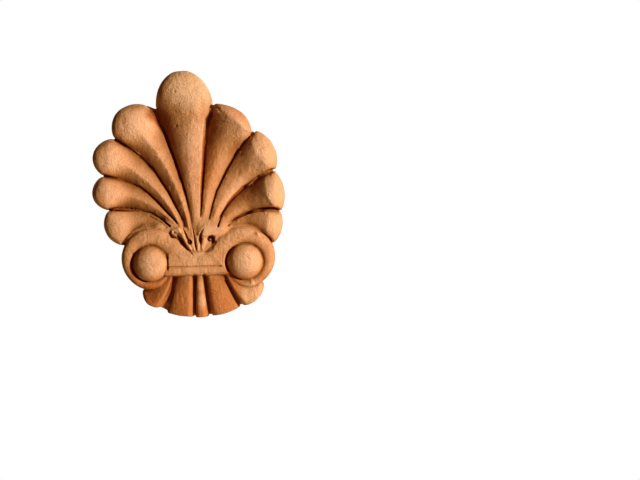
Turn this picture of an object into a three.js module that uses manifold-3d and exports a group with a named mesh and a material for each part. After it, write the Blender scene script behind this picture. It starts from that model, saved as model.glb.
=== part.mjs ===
// A moulded terracotta antefix, pressed as one piece with a flat back: a palmette of nine petals
// springs from a small hanging calyx, over a saddle that rolls into two scrolls round ball bosses,
// with a fillet and five foot leaves below.
// Sizes are in millimetres. The relief is modelled as it is seen, x to the right, y up and z out of
// the back, and is stood upright at the end, so that it faces -Y with +Z up.
// The origin is on the back, midway between the scrolls and half way up.
import * as THREE from "three";
import { mergeVertices } from "three/addons/utils/BufferGeometryUtils.js";
import Module from "manifold-3d";

const wasm = await Module();
wasm.setup();

// Depths above the back
const groundDepth = 10; // floor of the grooves near the outline
const scrollFloorDepth = 16; // bottom of the recess round each ball
const fieldDepth = 26.2; // between the saddle and the fillet
const footGroundDepth = 7; // floor of the gaps between the foot leaves
const trimDepth = 3; // clay that the flat back is cut from
const edgeDraft = 0.6; // how far an edge flares from its top down to the back

// Palmette. A petal runs from its root to the middle of the line between its two notches in the
// outline, and its lobe bulges past that line by its reach. The notches are given as shares of the
// palmette's width and of its height above the roots.
const palmetteWidth = 142; // between the widest petals' notches
const palmetteHeight = 105.5; // from the roots up to the crown's notches
const petalRootY = -32;
const petalGap = 0.75; // half a groove
const stemShare = 0.17; // half-width of a stem, as a share of its lobe's
const stemTaper = 1.3;
const bulbDepth = 26;
const bulbRound = 2.6; // how square-shouldered a bulb is (2 is an ellipse)
const dishDepth = 17.5; // crest of a petal in the dish between bulb and stem
const dishLength = 8; // of the fall into the dish, with a sixth of the petal's length
const stemDepth = 24;
const stemRound = 1.2;
const lobeEdgeDepth = 15;
const roofSlope = 0.46; // of a petal's two flanks, away from its bulb
const petals = [
  { rootX: -13, from: [-0.426, -0.076], to: [-0.507, 0.199], reach: 8.8, bend: 66, bulb: 11, low: 1.5 },
  { rootX: -12, from: [-0.507, 0.199], to: [-0.532, 0.464], reach: 10.7, bend: 56, bulb: 12, low: 0.5 },
  { rootX: -10.5, from: [-0.532, 0.464], to: [-0.465, 0.749], reach: 12.4, bend: 46, bulb: 14, leaf: 0 },
  { rootX: -5.3, from: [-0.465, 0.749], to: [-0.289, 0.995], reach: 13.2, bend: 35, bulb: 16, leaf: 1 },
  { rootX: -0.2, from: [-0.225, 0.972], to: [0.099, 1], reach: 28.7, bend: 0, bulb: 24, leaf: 2 },
  { rootX: 5.6, from: [0.134, 0.962], to: [0.331, 0.777], reach: 9.7, bend: -29, bulb: 12, leaf: 3 },
  { rootX: 10.4, from: [0.331, 0.777], to: [0.437, 0.474], reach: 9.7, bend: -46, bulb: 15 },
  { rootX: 15, from: [0.437, 0.474], to: [0.468, 0.161], reach: 6.7, bend: -57, bulb: 14, low: 0.5 },
  { rootX: 19, from: [0.468, 0.161], to: [0.423, -0.085], reach: 5, bend: -66, bulb: 12, low: 1.5 },
];

// The ground rises towards the heart
const groundRise = { x: -1, y: -25, top: 18, topRadius: 9, radius: 60 };

// Scrolls and the saddle that joins them
const scrollSpacing = 76; // ball centre to ball centre
const scrollY = -55;
const ballRadius = 13.8;
const ballSink = 1.5; // how far a ball's equator lies above the recess floor
const socketRadius = 15.1;
const socketShift = { x: -1.2, y: -1 }; // socket centre from the ball centre, the same on both sides
const ribbonTopRadius = 28.2; // outer edge of the ribbon above the ball
const ribbonSideRadius = 21.4; // and beside and below it
const ribbonEndRadius = 18;
const ribbonInnerRadius = 14; // the sockets are sunk into the ribbon's inner edge
const ribbonSweep = 240; // degrees from above the ball to the ribbon's end
const ribbonDepth = 27;
const ribbonEndDepth = 22;
const ribbonEdgeDepth = 20.5;
const saddleY = -54;
const saddleHalfWidth = 5.2;
const saddleFullHalfWidth = 9; // where it leaves the scrolls

// Calyx that hangs from the heart of the palmette. Four stems run on down as its leaves, each from
// its tip through a middle with their half-widths, and a curl runs through three points at each side.
const leaves = [
  [{ x: -5, y: -45.5, half: 0.8 }, { x: -10, y: -38, half: 2 }],
  [{ x: -2, y: -47, half: 0.9 }, { x: -4.9, y: -38, half: 2.7 }],
  [{ x: 0.3, y: -47.5, half: 0.9 }, { x: 0.6, y: -38, half: 2.3 }],
  [{ x: 3, y: -46.5, half: 1.2 }, { x: 6, y: -37.5, half: 3 }],
];
const calyxDepth = 27;
const calyxEdge = 4; // from a crest down to its edges
const calyxGroundDepth = 20;
const curls = [
  [{ x: -12, y: -25, half: 1.5 }, { x: -18.5, y: -27.5, half: 2.4 }, { x: -18, y: -33.5, half: 1.6 }],
  [{ x: 5.5, y: -24, half: 1.8 }, { x: 11, y: -28, half: 2.8 }, { x: 11.5, y: -33.5, half: 2.2 }],
];
const calyxOutline = [
  { x: 0, y: -49 },
  { x: -14, y: -38 },
  { x: -22, y: -27 },
  { x: -14, y: -18 },
  { x: 14, y: -18 },
  { x: 23, y: -27 },
  { x: 14, y: -38 },
];
const mounds = [
  { x: -15, y: -28, radius: 8, depth: 23 },
  { x: 17, y: -29, radius: 9, depth: 25.5 },
];

// Fillet under the saddle
const filletTopY = -59;
const filletHeight = 6.8;
const filletDepth = 26.5;
const filletLine = { x: -2, y: -58.4, length: 45, height: 1.1, depth: 2.4 }; // incised above it
const filletEnd = 8; // from the ball's centre
const fieldEdge = 4; // the field goes this far under the fillet

// Foot leaves, each from its root to a chord with a low bulge past it. The chord's ends are shares of
// the foot's width, and of its height down from the top of the fillet.
const footWidth = 98;
const footHeight = 40;
const footDepth = 23;
const footEndDepth = 20;
const footLeaves = [
  { rootX: -24, rootHalf: 2, from: [-0.345, 0.8], to: [-0.469, 0.425], reach: 4.3, bend: -30, ridge: -0.5 },
  { rootX: -12.3, rootHalf: 8, from: [-0.053, 0.998], to: [-0.276, 0.9], reach: 0.8, bend: -4, ridge: -0.62 },
  { rootX: 1.2, rootHalf: 2.2, from: [0.063, 1], to: [-0.029, 1.007], reach: 0.3, bend: 0, ridge: 0 },
  { rootX: 13, rootHalf: 6.8, from: [0.327, 0.82], to: [0.108, 0.985], reach: 1.6, bend: 4, ridge: 0.35 },
  { rootX: 23, rootHalf: 2, from: [0.531, 0.35], to: [0.38, 0.787], reach: 5.2, bend: 20, ridge: 0.5 },
];

// How finely the curves are cut
const archSteps = 10;
const petalSteps = 10;
const capSteps = 6;
const ribbonSteps = 15;
const saddleSteps = 16;
const leafSteps = 6;
const curlSteps = 6;
const ballSides = 22;
const weldSize = 1e-3;

const mix = (a, b, t) => a + (b - a) * t;
const radians = THREE.MathUtils.degToRad;
const ease = (t) => THREE.MathUtils.smoothstep(t, 0, 1);

// A closed mesh as a solid. Faces that shrink to a line when their corners are welded are dropped.
function solidOf(geometry) {
  geometry.deleteAttribute("normal");
  geometry.deleteAttribute("uv");
  const welded = mergeVertices(geometry, weldSize);
  const corners = welded.index.array;
  const kept = [];
  for (let i = 0; i < corners.length; i += 3) {
    const [a, b, c] = corners.slice(i, i + 3);
    if (a !== b && b !== c && c !== a) kept.push(a, b, c);
  }
  return new wasm.Manifold(
    new wasm.Mesh({
      numProp: 3,
      vertProperties: welded.attributes.position.array,
      triVerts: new Uint32Array(kept),
    }),
  );
}

// One cross-section of a ridge: up from under the back, over an arch, and down again. A station
// holds the spine's x, y and heading, the half-width, the depths of edge and crest, where across
// the width the crest lies (-1 to 1), and how round the arch is (2 is an ellipse).
function sectionOf({ x, y, heading, half, edge, crest, ridge = 0, round = 2 }) {
  const across = { x: Math.sin(heading), y: -Math.cos(heading) };
  const at = (q, z) => [x + across.x * q * half, y + across.y * q * half, z];
  const foot = 1 + (edgeDraft * (1 + trimDepth / edge)) / Math.max(half, edgeDraft);
  const arch = [];
  for (let i = 0; i <= archSteps; i++) {
    const side = i < archSteps / 2 ? -1 : 1;
    const away = Math.abs(Math.cos((Math.PI * i) / archSteps)); // 1 at an edge, 0 at the crest
    const q = ridge + side * away * (1 - side * ridge);
    arch.push(at(q, edge + (crest - edge) * (1 - away ** round) ** (1 / round)));
  }
  return [at(-foot, -trimDepth), ...arch, at(foot, -trimDepth)];
}

// A ridge lofted through its stations, closed at both ends.
function ridgeThrough(stations) {
  const rings = stations.map(sectionOf);
  const count = rings[0].length;
  const index = [];
  for (let i = 1; i < rings.length; i++) {
    for (let j = 0; j < count; j++) {
      const [a, b] = [(i - 1) * count + j, (i - 1) * count + ((j + 1) % count)];
      index.push(a, b, a + count, b, b + count, a + count);
    }
  }
  const last = (rings.length - 1) * count;
  for (let j = 2; j < count; j++) {
    index.push(0, j, j - 1, last, last + j - 1, last + j);
  }
  const geometry = new THREE.BufferGeometry();
  geometry.setAttribute("position", new THREE.Float32BufferAttribute(rings.flat(2), 3));
  geometry.setIndex(index);
  return solidOf(geometry.toNonIndexed());
}

// An arc from one point to another that turns by a bend in degrees, as a function of its share.
function arcBetween(from, to, bend) {
  const turn = radians(bend);
  const chord = Math.hypot(to.x - from.x, to.y - from.y);
  const start = Math.atan2(to.y - from.y, to.x - from.x) - turn / 2;
  const length = turn ? (chord * turn) / (2 * Math.sin(turn / 2)) : chord;
  return (share) => {
    const heading = start + turn * share;
    const swept = (turn * share) / 2;
    const reach = length * share * (swept ? Math.sin(swept) / swept : 1);
    return {
      x: from.x + reach * Math.cos(start + swept),
      y: from.y + reach * Math.sin(start + swept),
      heading,
    };
  };
}

const notchAt = ([x, y]) => ({ x: x * palmetteWidth, y: petalRootY + y * palmetteHeight });
const footEndAt = ([x, y]) => ({ x: x * footWidth, y: filletTopY - y * footHeight });

// The chord between two points of the outline, with the direction out of it, and the arc that a
// spine takes to its middle. The skew is what the spine has left to turn, to meet it squarely.
function lobeOn(from, to, root, bend) {
  const wide = Math.hypot(to.x - from.x, to.y - from.y) / 2;
  const neck = { x: (from.x + to.x) / 2, y: (from.y + to.y) / 2 };
  const outward = Math.atan2(from.x - to.x, to.y - from.y) + Math.PI;
  const spine = arcBetween(root, neck, bend);
  const turn = outward - spine(1).heading;
  return { wide, neck, outward, spine, skew: Math.atan2(Math.sin(turn), Math.cos(turn)) };
}

// A leaf of the calyx is the lower end of a stem, and its tip leans towards its middle.
function calyxStations([tip, middle]) {
  const arch = { edge: calyxDepth - calyxEdge, crest: calyxDepth, round: 1.8 };
  const lean = Math.atan2(petalRootY - tip.y, (middle.x - tip.x) / 2);
  return [{ ...tip, ...arch, heading: lean }, { ...middle, ...arch, heading: Math.PI / 2 }];
}

// A petal rises from its stem, dips into the dish and ends in a bulb with a rounded lobe.
function petal({ rootX, from, to, reach, bend, bulb, leaf, low = 0 }) {
  const root = { x: rootX, y: petalRootY };
  const { wide, neck, outward, spine, skew } = lobeOn(notchAt(from), notchAt(to), root, bend);
  const length = Math.hypot(neck.x - rootX, neck.y - petalRootY);
  const dishRun = dishLength + length / 6;
  const section = (place, half, toTip) => {
    const fall = Math.min(1, Math.max(0, (toTip - bulb) / dishRun));
    const dish = Math.sin((Math.PI / 2) * fall);
    const stem = ease((toTip - bulb - dishRun) / (length + reach - bulb - dishRun));
    const dome = (1 - Math.max(0, 1 - toTip / bulb) ** bulbRound) ** (1 / bulbRound);
    const crest = mix(mix(lobeEdgeDepth, bulbDepth, dome), mix(dishDepth, stemDepth, stem), dish) - low;
    const eave = crest - roofSlope * half - 1;
    return {
      ...place,
      half: Math.max(0, half - petalGap * (toTip > reach)),
      edge: mix(lobeEdgeDepth - low, eave, ease(toTip / (bulb + dishRun / 2))),
      crest,
      round: mix(bulbRound, stemRound, ease((toTip - 0.6 * bulb) / dishRun)),
    };
  };
  const stations = leaf === undefined ? [] : calyxStations(leaves[leaf]);
  for (let i = 0; i <= petalSteps; i++) {
    const s = i / petalSteps;
    const place = spine(s);
    place.heading += skew * s ** 3;
    const half = wide * mix(stemShare, 1, s ** stemTaper);
    stations.push(section(place, half, reach + length * (1 - s)));
  }
  for (let i = 1; i <= capSteps; i++) {
    const t = Math.sin((Math.PI / 2) * (i / capSteps));
    const place = {
      x: neck.x + reach * t * Math.cos(outward),
      y: neck.y + reach * t * Math.sin(outward),
      heading: outward,
    };
    // An arc, or half an ellipse where the reach is longer than the half-width
    const half = wide * Math.sqrt((1 - t) * (1 + t * Math.min(1, (reach / wide) ** 2)));
    stations.push(section(place, half, reach * (1 - t)));
  }
  return ridgeThrough(stations);
}

// A flat-topped plate of clay through some points of its outline.
function plate(points, top) {
  const geometry = new THREE.ExtrudeGeometry(
    new THREE.Shape(points.map(({ x, y }) => new THREE.Vector2(x, y))),
    { depth: top + trimDepth, bevelEnabled: false },
  );
  return solidOf(geometry.translate(0, 0, -trimDepth));
}

function disc(x, y, radius, from, to) {
  const geometry = new THREE.CylinderGeometry(radius, radius, to - from, ballSides * 2);
  geometry.rotateX(Math.PI / 2).translate(x, y, (from + to) / 2);
  return solidOf(geometry);
}

// The ground reaches out to the notches between the petals, and rises towards the heart.
function palmetteGround() {
  const notches = petals.flatMap(({ from, to }) => [notchAt(from), notchAt(to)]);
  const outline = [{ x: groundRise.x, y: scrollY }, ...notches].reverse();
  const { x, y, top, topRadius, radius } = groundRise;
  const rise = new THREE.CylinderGeometry(topRadius, radius, top, ballSides);
  rise.rotateX(Math.PI / 2).translate(x, y, top / 2);
  return plate(outline, groundDepth).add(solidOf(rise));
}

// One band winds down round the left ball, crosses the saddle and winds down round the right ball.
function scrollBand() {
  const right = [];
  for (let i = 0; i <= ribbonSteps; i++) {
    const t = i / ribbonSteps;
    const bearing = radians(90 - ribbonSweep * t);
    const narrowed = mix(ribbonTopRadius, ribbonSideRadius, ease(t / 0.6));
    const outer = mix(narrowed, ribbonEndRadius, ease((t - 0.7) / 0.3));
    const radius = (outer + ribbonInnerRadius) / 2;
    right.push({
      x: scrollSpacing / 2 + radius * Math.cos(bearing),
      y: scrollY + radius * Math.sin(bearing),
      heading: bearing - Math.PI / 2,
      half: (outer - ribbonInnerRadius) / 2,
      edge: ribbonEdgeDepth - 4 * t,
      crest: mix(ribbonDepth, ribbonEndDepth, t),
      round: 2.4,
    });
  }
  const { x, y, half } = right[0];
  const swag = new THREE.CubicBezierCurve(
    new THREE.Vector2(0, saddleY),
    new THREE.Vector2(x - 21, saddleY),
    new THREE.Vector2(x - 15, y + 1.5),
    new THREE.Vector2(x, y),
  );
  const saddle = [];
  for (let i = 0; i < saddleSteps / 2; i++) {
    const t = (2 * i) / saddleSteps;
    const at = swag.getPoint(t);
    const along = swag.getTangent(t);
    saddle.push({
      x: at.x,
      y: at.y,
      heading: Math.atan2(along.y, along.x),
      half: mix(mix(saddleHalfWidth, half, t), saddleFullHalfWidth, Math.sin(Math.PI * t) ** 2),
      edge: ribbonEdgeDepth,
      crest: ribbonDepth,
      round: 2.4,
    });
  }
  const rightHalf = [...saddle, ...right];
  const leftHalf = rightHalf.slice(1).reverse();
  const mirrored = leftHalf.map((at) => ({ ...at, x: -at.x, heading: -at.heading }));
  return ridgeThrough([...mirrored, ...rightHalf]);
}

function field() {
  const half = scrollSpacing / 2 - ballRadius;
  const [top, bottom] = [saddleY + saddleHalfWidth + 1.8, filletTopY - fieldEdge];
  const corners = [[-half, top], [-half, bottom], [half, bottom], [half, top]];
  return plate(corners.map(([x, y]) => ({ x, y })), fieldDepth);
}

function ball(x) {
  const geometry = new THREE.SphereGeometry(ballRadius, ballSides, ballSides / 2);
  geometry.rotateX(Math.PI / 2).translate(x, scrollY, scrollFloorDepth + ballSink);
  return solidOf(geometry);
}

// The ground behind the calyx, the mounds at its sides and the curls on them
function calyx() {
  const parts = [plate(calyxOutline, calyxGroundDepth)];
  for (const { x, y, radius, depth } of mounds) {
    const geometry = new THREE.SphereGeometry(radius, ballSides, ballSides / 2);
    geometry.rotateX(Math.PI / 2).scale(1, 0.8, 0.8);
    parts.push(solidOf(geometry.translate(x, y, depth - radius * 0.8)));
  }
  for (const curl of curls) {
    const [start, middle, end] = curl.map(({ x, y }) => new THREE.Vector2(x, y));
    const control = middle.clone().multiplyScalar(2).sub(start.clone().add(end).multiplyScalar(0.5));
    const curve = new THREE.QuadraticBezierCurve(start, control, end);
    const stations = [];
    for (let i = 0; i <= curlSteps; i++) {
      const t = i / curlSteps;
      const at = curve.getPoint(t);
      const along = curve.getTangent(t);
      stations.push({
        x: at.x,
        y: at.y,
        heading: Math.atan2(along.y, along.x),
        half: t < 0.5 ? mix(curl[0].half, curl[1].half, 2 * t) : mix(curl[1].half, curl[2].half, 2 * t - 1),
        edge: calyxDepth - calyxEdge,
        crest: calyxDepth,
      });
    }
    parts.push(ridgeThrough(stations));
  }
  return parts.reduce((all, next) => all.add(next));
}

// The fillet is a low bar across the foot of the saddle, between the two sockets.
function fillet() {
  const y = filletTopY - filletHeight / 2;
  const reach = scrollSpacing / 2 - filletEnd;
  const bar = (x) => ({ x, y, heading: 0, half: filletHeight / 2, edge: 20, crest: filletDepth, round: 2.6 });
  return ridgeThrough([bar(-reach), bar(reach)]);
}

function footLeaf({ rootX, rootHalf, from, to, reach, bend, ridge }) {
  const root = { x: rootX, y: filletTopY - filletHeight / 2 };
  const { wide, neck, outward, spine, skew } = lobeOn(footEndAt(from), footEndAt(to), root, bend);
  const section = (place, half, s) => ({
    ...place,
    half,
    edge: mix(18, 13, s),
    crest: mix(footDepth, footEndDepth, s),
    ridge,
    round: 1.7,
  });
  const stations = [];
  for (let i = 0; i <= leafSteps; i++) {
    const s = i / leafSteps;
    const place = spine(s);
    place.heading += skew * s ** 3;
    stations.push(section(place, mix(rootHalf, wide, s), s));
  }
  for (let i = 1; i <= leafSteps / 2; i++) {
    const t = Math.sin((Math.PI / 2) * (i / (leafSteps / 2 + 1)));
    const half = wide * Math.sqrt((1 - t) * (1 + t * (reach / wide) ** 2));
    const place = {
      x: neck.x + reach * t * Math.cos(outward),
      y: neck.y + reach * t * Math.sin(outward),
      heading: outward,
    };
    stations.push(section(place, half, 1));
  }
  return ridgeThrough(stations);
}

function footGround() {
  const ends = footLeaves.flatMap(({ from, to }) => [footEndAt(to), footEndAt(from)]);
  const inset = ends.map(({ x, y }) => ({ x: x * 0.98, y: y * 0.985 }));
  return plate([{ x: groundRise.x, y: scrollY }, ...inset], footGroundDepth);
}

// All the clay is joined, the sockets are sunk and filled with their balls, and the back is cut flat.
function antefixSolid() {
  const centres = [-scrollSpacing / 2, scrollSpacing / 2];
  let clay = [
    palmetteGround(),
    footGround(),
    field(),
    ...petals.map(petal),
    ...footLeaves.map(footLeaf),
    ...centres.map((x) => disc(x, scrollY, ribbonEndRadius, -trimDepth, scrollFloorDepth + 1)),
    scrollBand(),
    fillet(),
    calyx(),
  ].reduce((all, next) => all.add(next));
  for (const x of centres) {
    const top = 2 * bulbDepth; // clear of the relief
    const socket = disc(x + socketShift.x, scrollY + socketShift.y, socketRadius, scrollFloorDepth, top);
    clay = clay.subtract(socket).add(ball(x));
  }
  const line = new THREE.BoxGeometry(filletLine.length, filletLine.height, 2 * filletLine.depth);
  clay = clay.subtract(solidOf(line.translate(filletLine.x, filletLine.y, ribbonDepth)));
  const trim = new THREE.BoxGeometry(2 * palmetteWidth, 3 * palmetteHeight, 2 * trimDepth);
  clay = clay.subtract(solidOf(trim.translate(0, 0, -trimDepth)));
  // Pockets sealed between the joined pieces are filled.
  return clay.decompose().reduce((most, body) => (body.volume() > most.volume() ? body : most));
}

function geometryOf(solid) {
  const { vertProperties, triVerts, numProp } = solid.getMesh();
  const geometry = new THREE.BufferGeometry();
  const position = new Float32Array((vertProperties.length / numProp) * 3);
  for (let i = 0; i < position.length / 3; i++) {
    position.set(vertProperties.subarray(i * numProp, i * numProp + 3), i * 3);
  }
  geometry.setAttribute("position", new THREE.BufferAttribute(position, 3));
  geometry.setIndex(new THREE.BufferAttribute(triVerts, 1));
  geometry.computeVertexNormals();
  return geometry;
}

const terracotta = new THREE.MeshStandardMaterial({ color: 0xd08a5a, roughness: 0.9, metalness: 0 });
const antefix = new THREE.Mesh(geometryOf(antefixSolid()), terracotta);
antefix.name = "palmette_antefix";
antefix.rotation.x = Math.PI / 2;

const group = new THREE.Group();
group.add(antefix);
export default group;
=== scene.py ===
import math

import bmesh
import bpy
import numpy as np
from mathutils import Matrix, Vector


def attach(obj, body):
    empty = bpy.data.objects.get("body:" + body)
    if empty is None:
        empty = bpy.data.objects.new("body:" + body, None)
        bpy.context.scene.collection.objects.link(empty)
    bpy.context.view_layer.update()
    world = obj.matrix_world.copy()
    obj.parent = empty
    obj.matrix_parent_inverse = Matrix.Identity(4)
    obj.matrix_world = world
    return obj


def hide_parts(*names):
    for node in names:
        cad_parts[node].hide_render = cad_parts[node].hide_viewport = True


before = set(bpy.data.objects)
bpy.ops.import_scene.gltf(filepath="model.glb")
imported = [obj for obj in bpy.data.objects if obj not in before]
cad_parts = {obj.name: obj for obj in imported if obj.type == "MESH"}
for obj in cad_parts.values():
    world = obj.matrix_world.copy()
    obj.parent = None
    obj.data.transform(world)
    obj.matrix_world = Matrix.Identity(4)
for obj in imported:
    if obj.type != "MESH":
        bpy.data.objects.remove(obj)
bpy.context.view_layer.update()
mm = 0.001
print("frame loaded")

# The view is square on, under a low key lamp on the right
camera = {
    "x": 98.8, "y": -1515, "z": -39.5,  # in front of the middle of the picture, right of the piece
    "seenWidth": 518, "seenDepth": 15,  # of the view: its width, at this depth in front of the back
    "filmWidth": 36,
    "roll": 1.5,  # the piece hangs a little askew in the picture
}
light = {
    "azimuth": 52, "elevation": 8,  # of the key, from straight in front round to the right
    "distance": 1300, "size": 110, "power": 31, "colour": (1, 0.98, 0.95),
    "backAzimuth": 150, "backElevation": 25, "backDistance": 1500, "backSize": 900, "backPower": 14,
    "backColour": (1, 0.97, 0.94),
    "skyStrength": 0.044, "skyColour": (1, 0.6, 0.3), "seenSky": 1.0,
    "gamma": 0.86,  # a little under 1 gives the contrast of hard sunlight on film
    "redBlack": 0.026, "blueCurve": [(0.06, 0.042), (0.2, 0.195)],
}
floor = {
    "z": -500, "radius": 700, "thick": 20, "sides": 96,
    "colour": (0.86, 0.85, 0.83), "shade": (0.83, 0.82, 0.8), "patch": 60, "roughness": 0.9,
}


def selectNothing():
    if bpy.context.object and bpy.context.object.mode != "OBJECT":
        bpy.ops.object.mode_set(mode="OBJECT")
    bpy.ops.object.select_all(action="DESELECT")


def selectOnly(pieces):
    selectNothing()
    for piece in pieces:
        piece.select_set(True)
    bpy.context.view_layer.objects.active = pieces[0]


def addLamp(name, azimuth, elevation, distance, size, power, colour):
    az, el = math.radians(azimuth), math.radians(elevation)
    place = Vector((math.sin(az) * math.cos(el), -math.cos(az) * math.cos(el), math.sin(el)))
    bpy.ops.object.light_add(type="AREA", location=place * distance * mm)
    lamp = bpy.context.object
    lamp.name = name
    lamp.rotation_euler = place.to_track_quat("Z", "Y").to_euler()
    lamp.data.shape = "DISK"
    lamp.data.size = size * mm
    lamp.data.energy = power
    lamp.data.color = colour


selectNothing()
bpy.ops.object.camera_add(location=(camera["x"] * mm, camera["y"] * mm, camera["z"] * mm))
eye = bpy.context.object
eye.name = "portraitCamera"
eye.rotation_euler = (math.radians(90), math.radians(camera["roll"]), 0)
eye.data.lens = camera["filmWidth"] * (abs(camera["y"]) - camera["seenDepth"]) / camera["seenWidth"]
eye.data.clip_start = 0.01
bpy.context.scene.camera = eye
bpy.context.scene.view_settings.view_transform = "Standard"
bpy.context.scene.view_settings.gamma = light["gamma"]
bpy.context.scene.view_settings.use_curve_mapping = True
film = bpy.context.scene.view_settings.curve_mapping
film.curves[0].points[0].location = (0, light["redBlack"])  # the film's shades are reddish
for place in light["blueCurve"]:
    film.curves[2].points.new(*place)
film.update()

addLamp("keyLamp", light["azimuth"], light["elevation"], light["distance"], light["size"],
        light["power"], light["colour"])
for side, name in ((-1, "backLampLeft"), (1, "backLampRight")):  # they light the sides and the back only
    addLamp(name, side * light["backAzimuth"], light["backElevation"], light["backDistance"],
            light["backSize"], light["backPower"], light["backColour"])
print("camera and lamps placed")


class Sock:
    # One output socket, so that shader maths reads as an expression
    def __init__(self, tree, out):
        self.tree, self.out = tree, out

    def math(self, operation, *values):
        node = self.tree.nodes.new("ShaderNodeMath")
        node.operation = operation
        for i, value in enumerate(values):
            if isinstance(value, Sock):
                self.tree.links.new(value.out, node.inputs[i])
            else:
                node.inputs[i].default_value = value
        return Sock(self.tree, node.outputs[0])

    def __add__(self, other):
        return self.math("ADD", self, other)

    def __radd__(self, other):
        return self.math("ADD", other, self)

    def __sub__(self, other):
        return self.math("SUBTRACT", self, other)

    def __rsub__(self, other):
        return self.math("SUBTRACT", other, self)

    def __mul__(self, other):
        return self.math("MULTIPLY", self, other)

    def between(self, low, high):
        # 0 below low, 1 above high, with a soft start and end
        node = self.tree.nodes.new("ShaderNodeMapRange")
        node.interpolation_type = "SMOOTHSTEP"
        self.tree.links.new(self.out, node.inputs["Value"])
        node.inputs["From Min"].default_value = low
        node.inputs["From Max"].default_value = high
        return Sock(self.tree, node.outputs["Result"])


class Shader:
    # A material and the means to add nodes to it
    def __init__(self, name):
        self.material = bpy.data.materials.new(name)
        self.material.use_nodes = True
        self.tree = self.material.node_tree
        self.surface = self.tree.nodes["Principled BSDF"]

    def node(self, kind, settings=None, sockets=None, out=0):
        # A node of any kind: its settings first, then the values or links of its sockets
        made = self.tree.nodes.new(kind)
        for key, value in (settings or {}).items():
            setattr(made, key, value)
        for key, value in (sockets or {}).items():
            if isinstance(value, Sock):
                self.tree.links.new(value.out, made.inputs[key])
            else:
                made.inputs[key].default_value = value
        return Sock(self.tree, made.outputs[out])

    def mix(self, share, first, second):
        # A colour between two, by a share
        made = self.tree.nodes.new("ShaderNodeMix")
        made.data_type = "RGBA"
        for key, value in ((0, share), (6, first), (7, second)):
            if isinstance(value, Sock):
                self.tree.links.new(value.out, made.inputs[key])
            else:
                made.inputs[key].default_value = (*value, 1)
        return Sock(self.tree, made.outputs[2])

    def place(self, stretch=(1, 1, 1), offset=(0, 0, 0), turn=0):
        # The point on the piece, in millimetres, turned as seen from the front
        at = self.node("ShaderNodeTexCoord", out=3)
        return self.node("ShaderNodeMapping", None, {
            "Vector": at,
            "Scale": tuple(1000 * value for value in stretch),
            "Location": offset,
            "Rotation": (0, math.radians(turn), 0),
        })

    def noise(self, at, size, detail=3, rough=0.55, distort=0.0):
        return self.node("ShaderNodeTexNoise", None, {
            "Vector": at, "Scale": 1 / size, "Detail": detail, "Roughness": rough, "Distortion": distort,
        })

    def attribute(self, name):
        return self.node("ShaderNodeAttribute", {"attribute_name": name}, out=2)

    def feed(self, socket, value):
        self.tree.links.new(value.out, self.surface.inputs[socket])


# The sky is white to the eye, and dim and warm to the clay
sky = bpy.data.worlds.new("paleSky")
bpy.context.scene.world = sky
sky.use_nodes = True
skyTree = sky.node_tree
skyPath = skyTree.nodes.new("ShaderNodeLightPath")
skyMix = skyTree.nodes.new("ShaderNodeMix")
skyMix.inputs[2].default_value = light["skyStrength"]
skyMix.inputs[3].default_value = light["seenSky"]
skyTree.links.new(skyPath.outputs["Is Camera Ray"], skyMix.inputs[0])
skyTint = skyTree.nodes.new("ShaderNodeMix")
skyTint.data_type = "RGBA"
skyTint.inputs[6].default_value = (*light["skyColour"], 1)
skyTint.inputs[7].default_value = (1, 1, 1, 1)
skyTree.links.new(skyPath.outputs["Is Camera Ray"], skyTint.inputs[0])
skyTree.links.new(skyTint.outputs[2], skyTree.nodes["Background"].inputs["Color"])
skyTree.links.new(skyMix.outputs[0], skyTree.nodes["Background"].inputs["Strength"])

floorShader = Shader("palePlaster")
floorTone = floorShader.noise(floorShader.place(), floor["patch"]).between(0.3, 0.7)
floorShader.feed("Base Color", floorShader.mix(floorTone, floor["colour"], floor["shade"]))
floorShader.surface.inputs["Roughness"].default_value = floor["roughness"]

selectNothing()
bpy.ops.mesh.primitive_circle_add(vertices=floor["sides"], radius=floor["radius"] * mm,
                                  fill_type="NGON", location=(0, 0, floor["z"] * mm))
ground = bpy.context.object
ground.name = "studioFloor"
bpy.ops.object.transform_apply(location=True, rotation=True, scale=True)
bpy.ops.object.mode_set(mode="EDIT")
bpy.ops.mesh.select_all(action="SELECT")
bpy.ops.mesh.extrude_region_move(TRANSFORM_OT_translate={"value": (0, 0, -floor["thick"] * mm)})
bpy.ops.mesh.select_all(action="SELECT")
bpy.ops.mesh.normals_make_consistent(inside=False)
bpy.ops.object.mode_set(mode="OBJECT")
ground.data.materials.append(floorShader.material)
print("floor laid")


clayBelow = 4  # every form reaches this far below the back, which is cut flat at the end
rowsAway = [1, 0.95, 0.82, 0.62, 0.38, 0.14]  # rows of a ridge from its edge to its crest


def mixed(first, second, share):
    return first + (second - first) * share


def eased(share):
    share = min(1, max(0, share))
    return share * share * (3 - 2 * share)


def ridgeHeight(away, edge, crest, roundness):
    # From the crest down to the edge: 1 is a straight roof, 2 a round arch, more is squarer
    return edge + (crest - edge) * max(0, 1 - abs(away) ** roundness) ** (1 / roundness)


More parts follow.
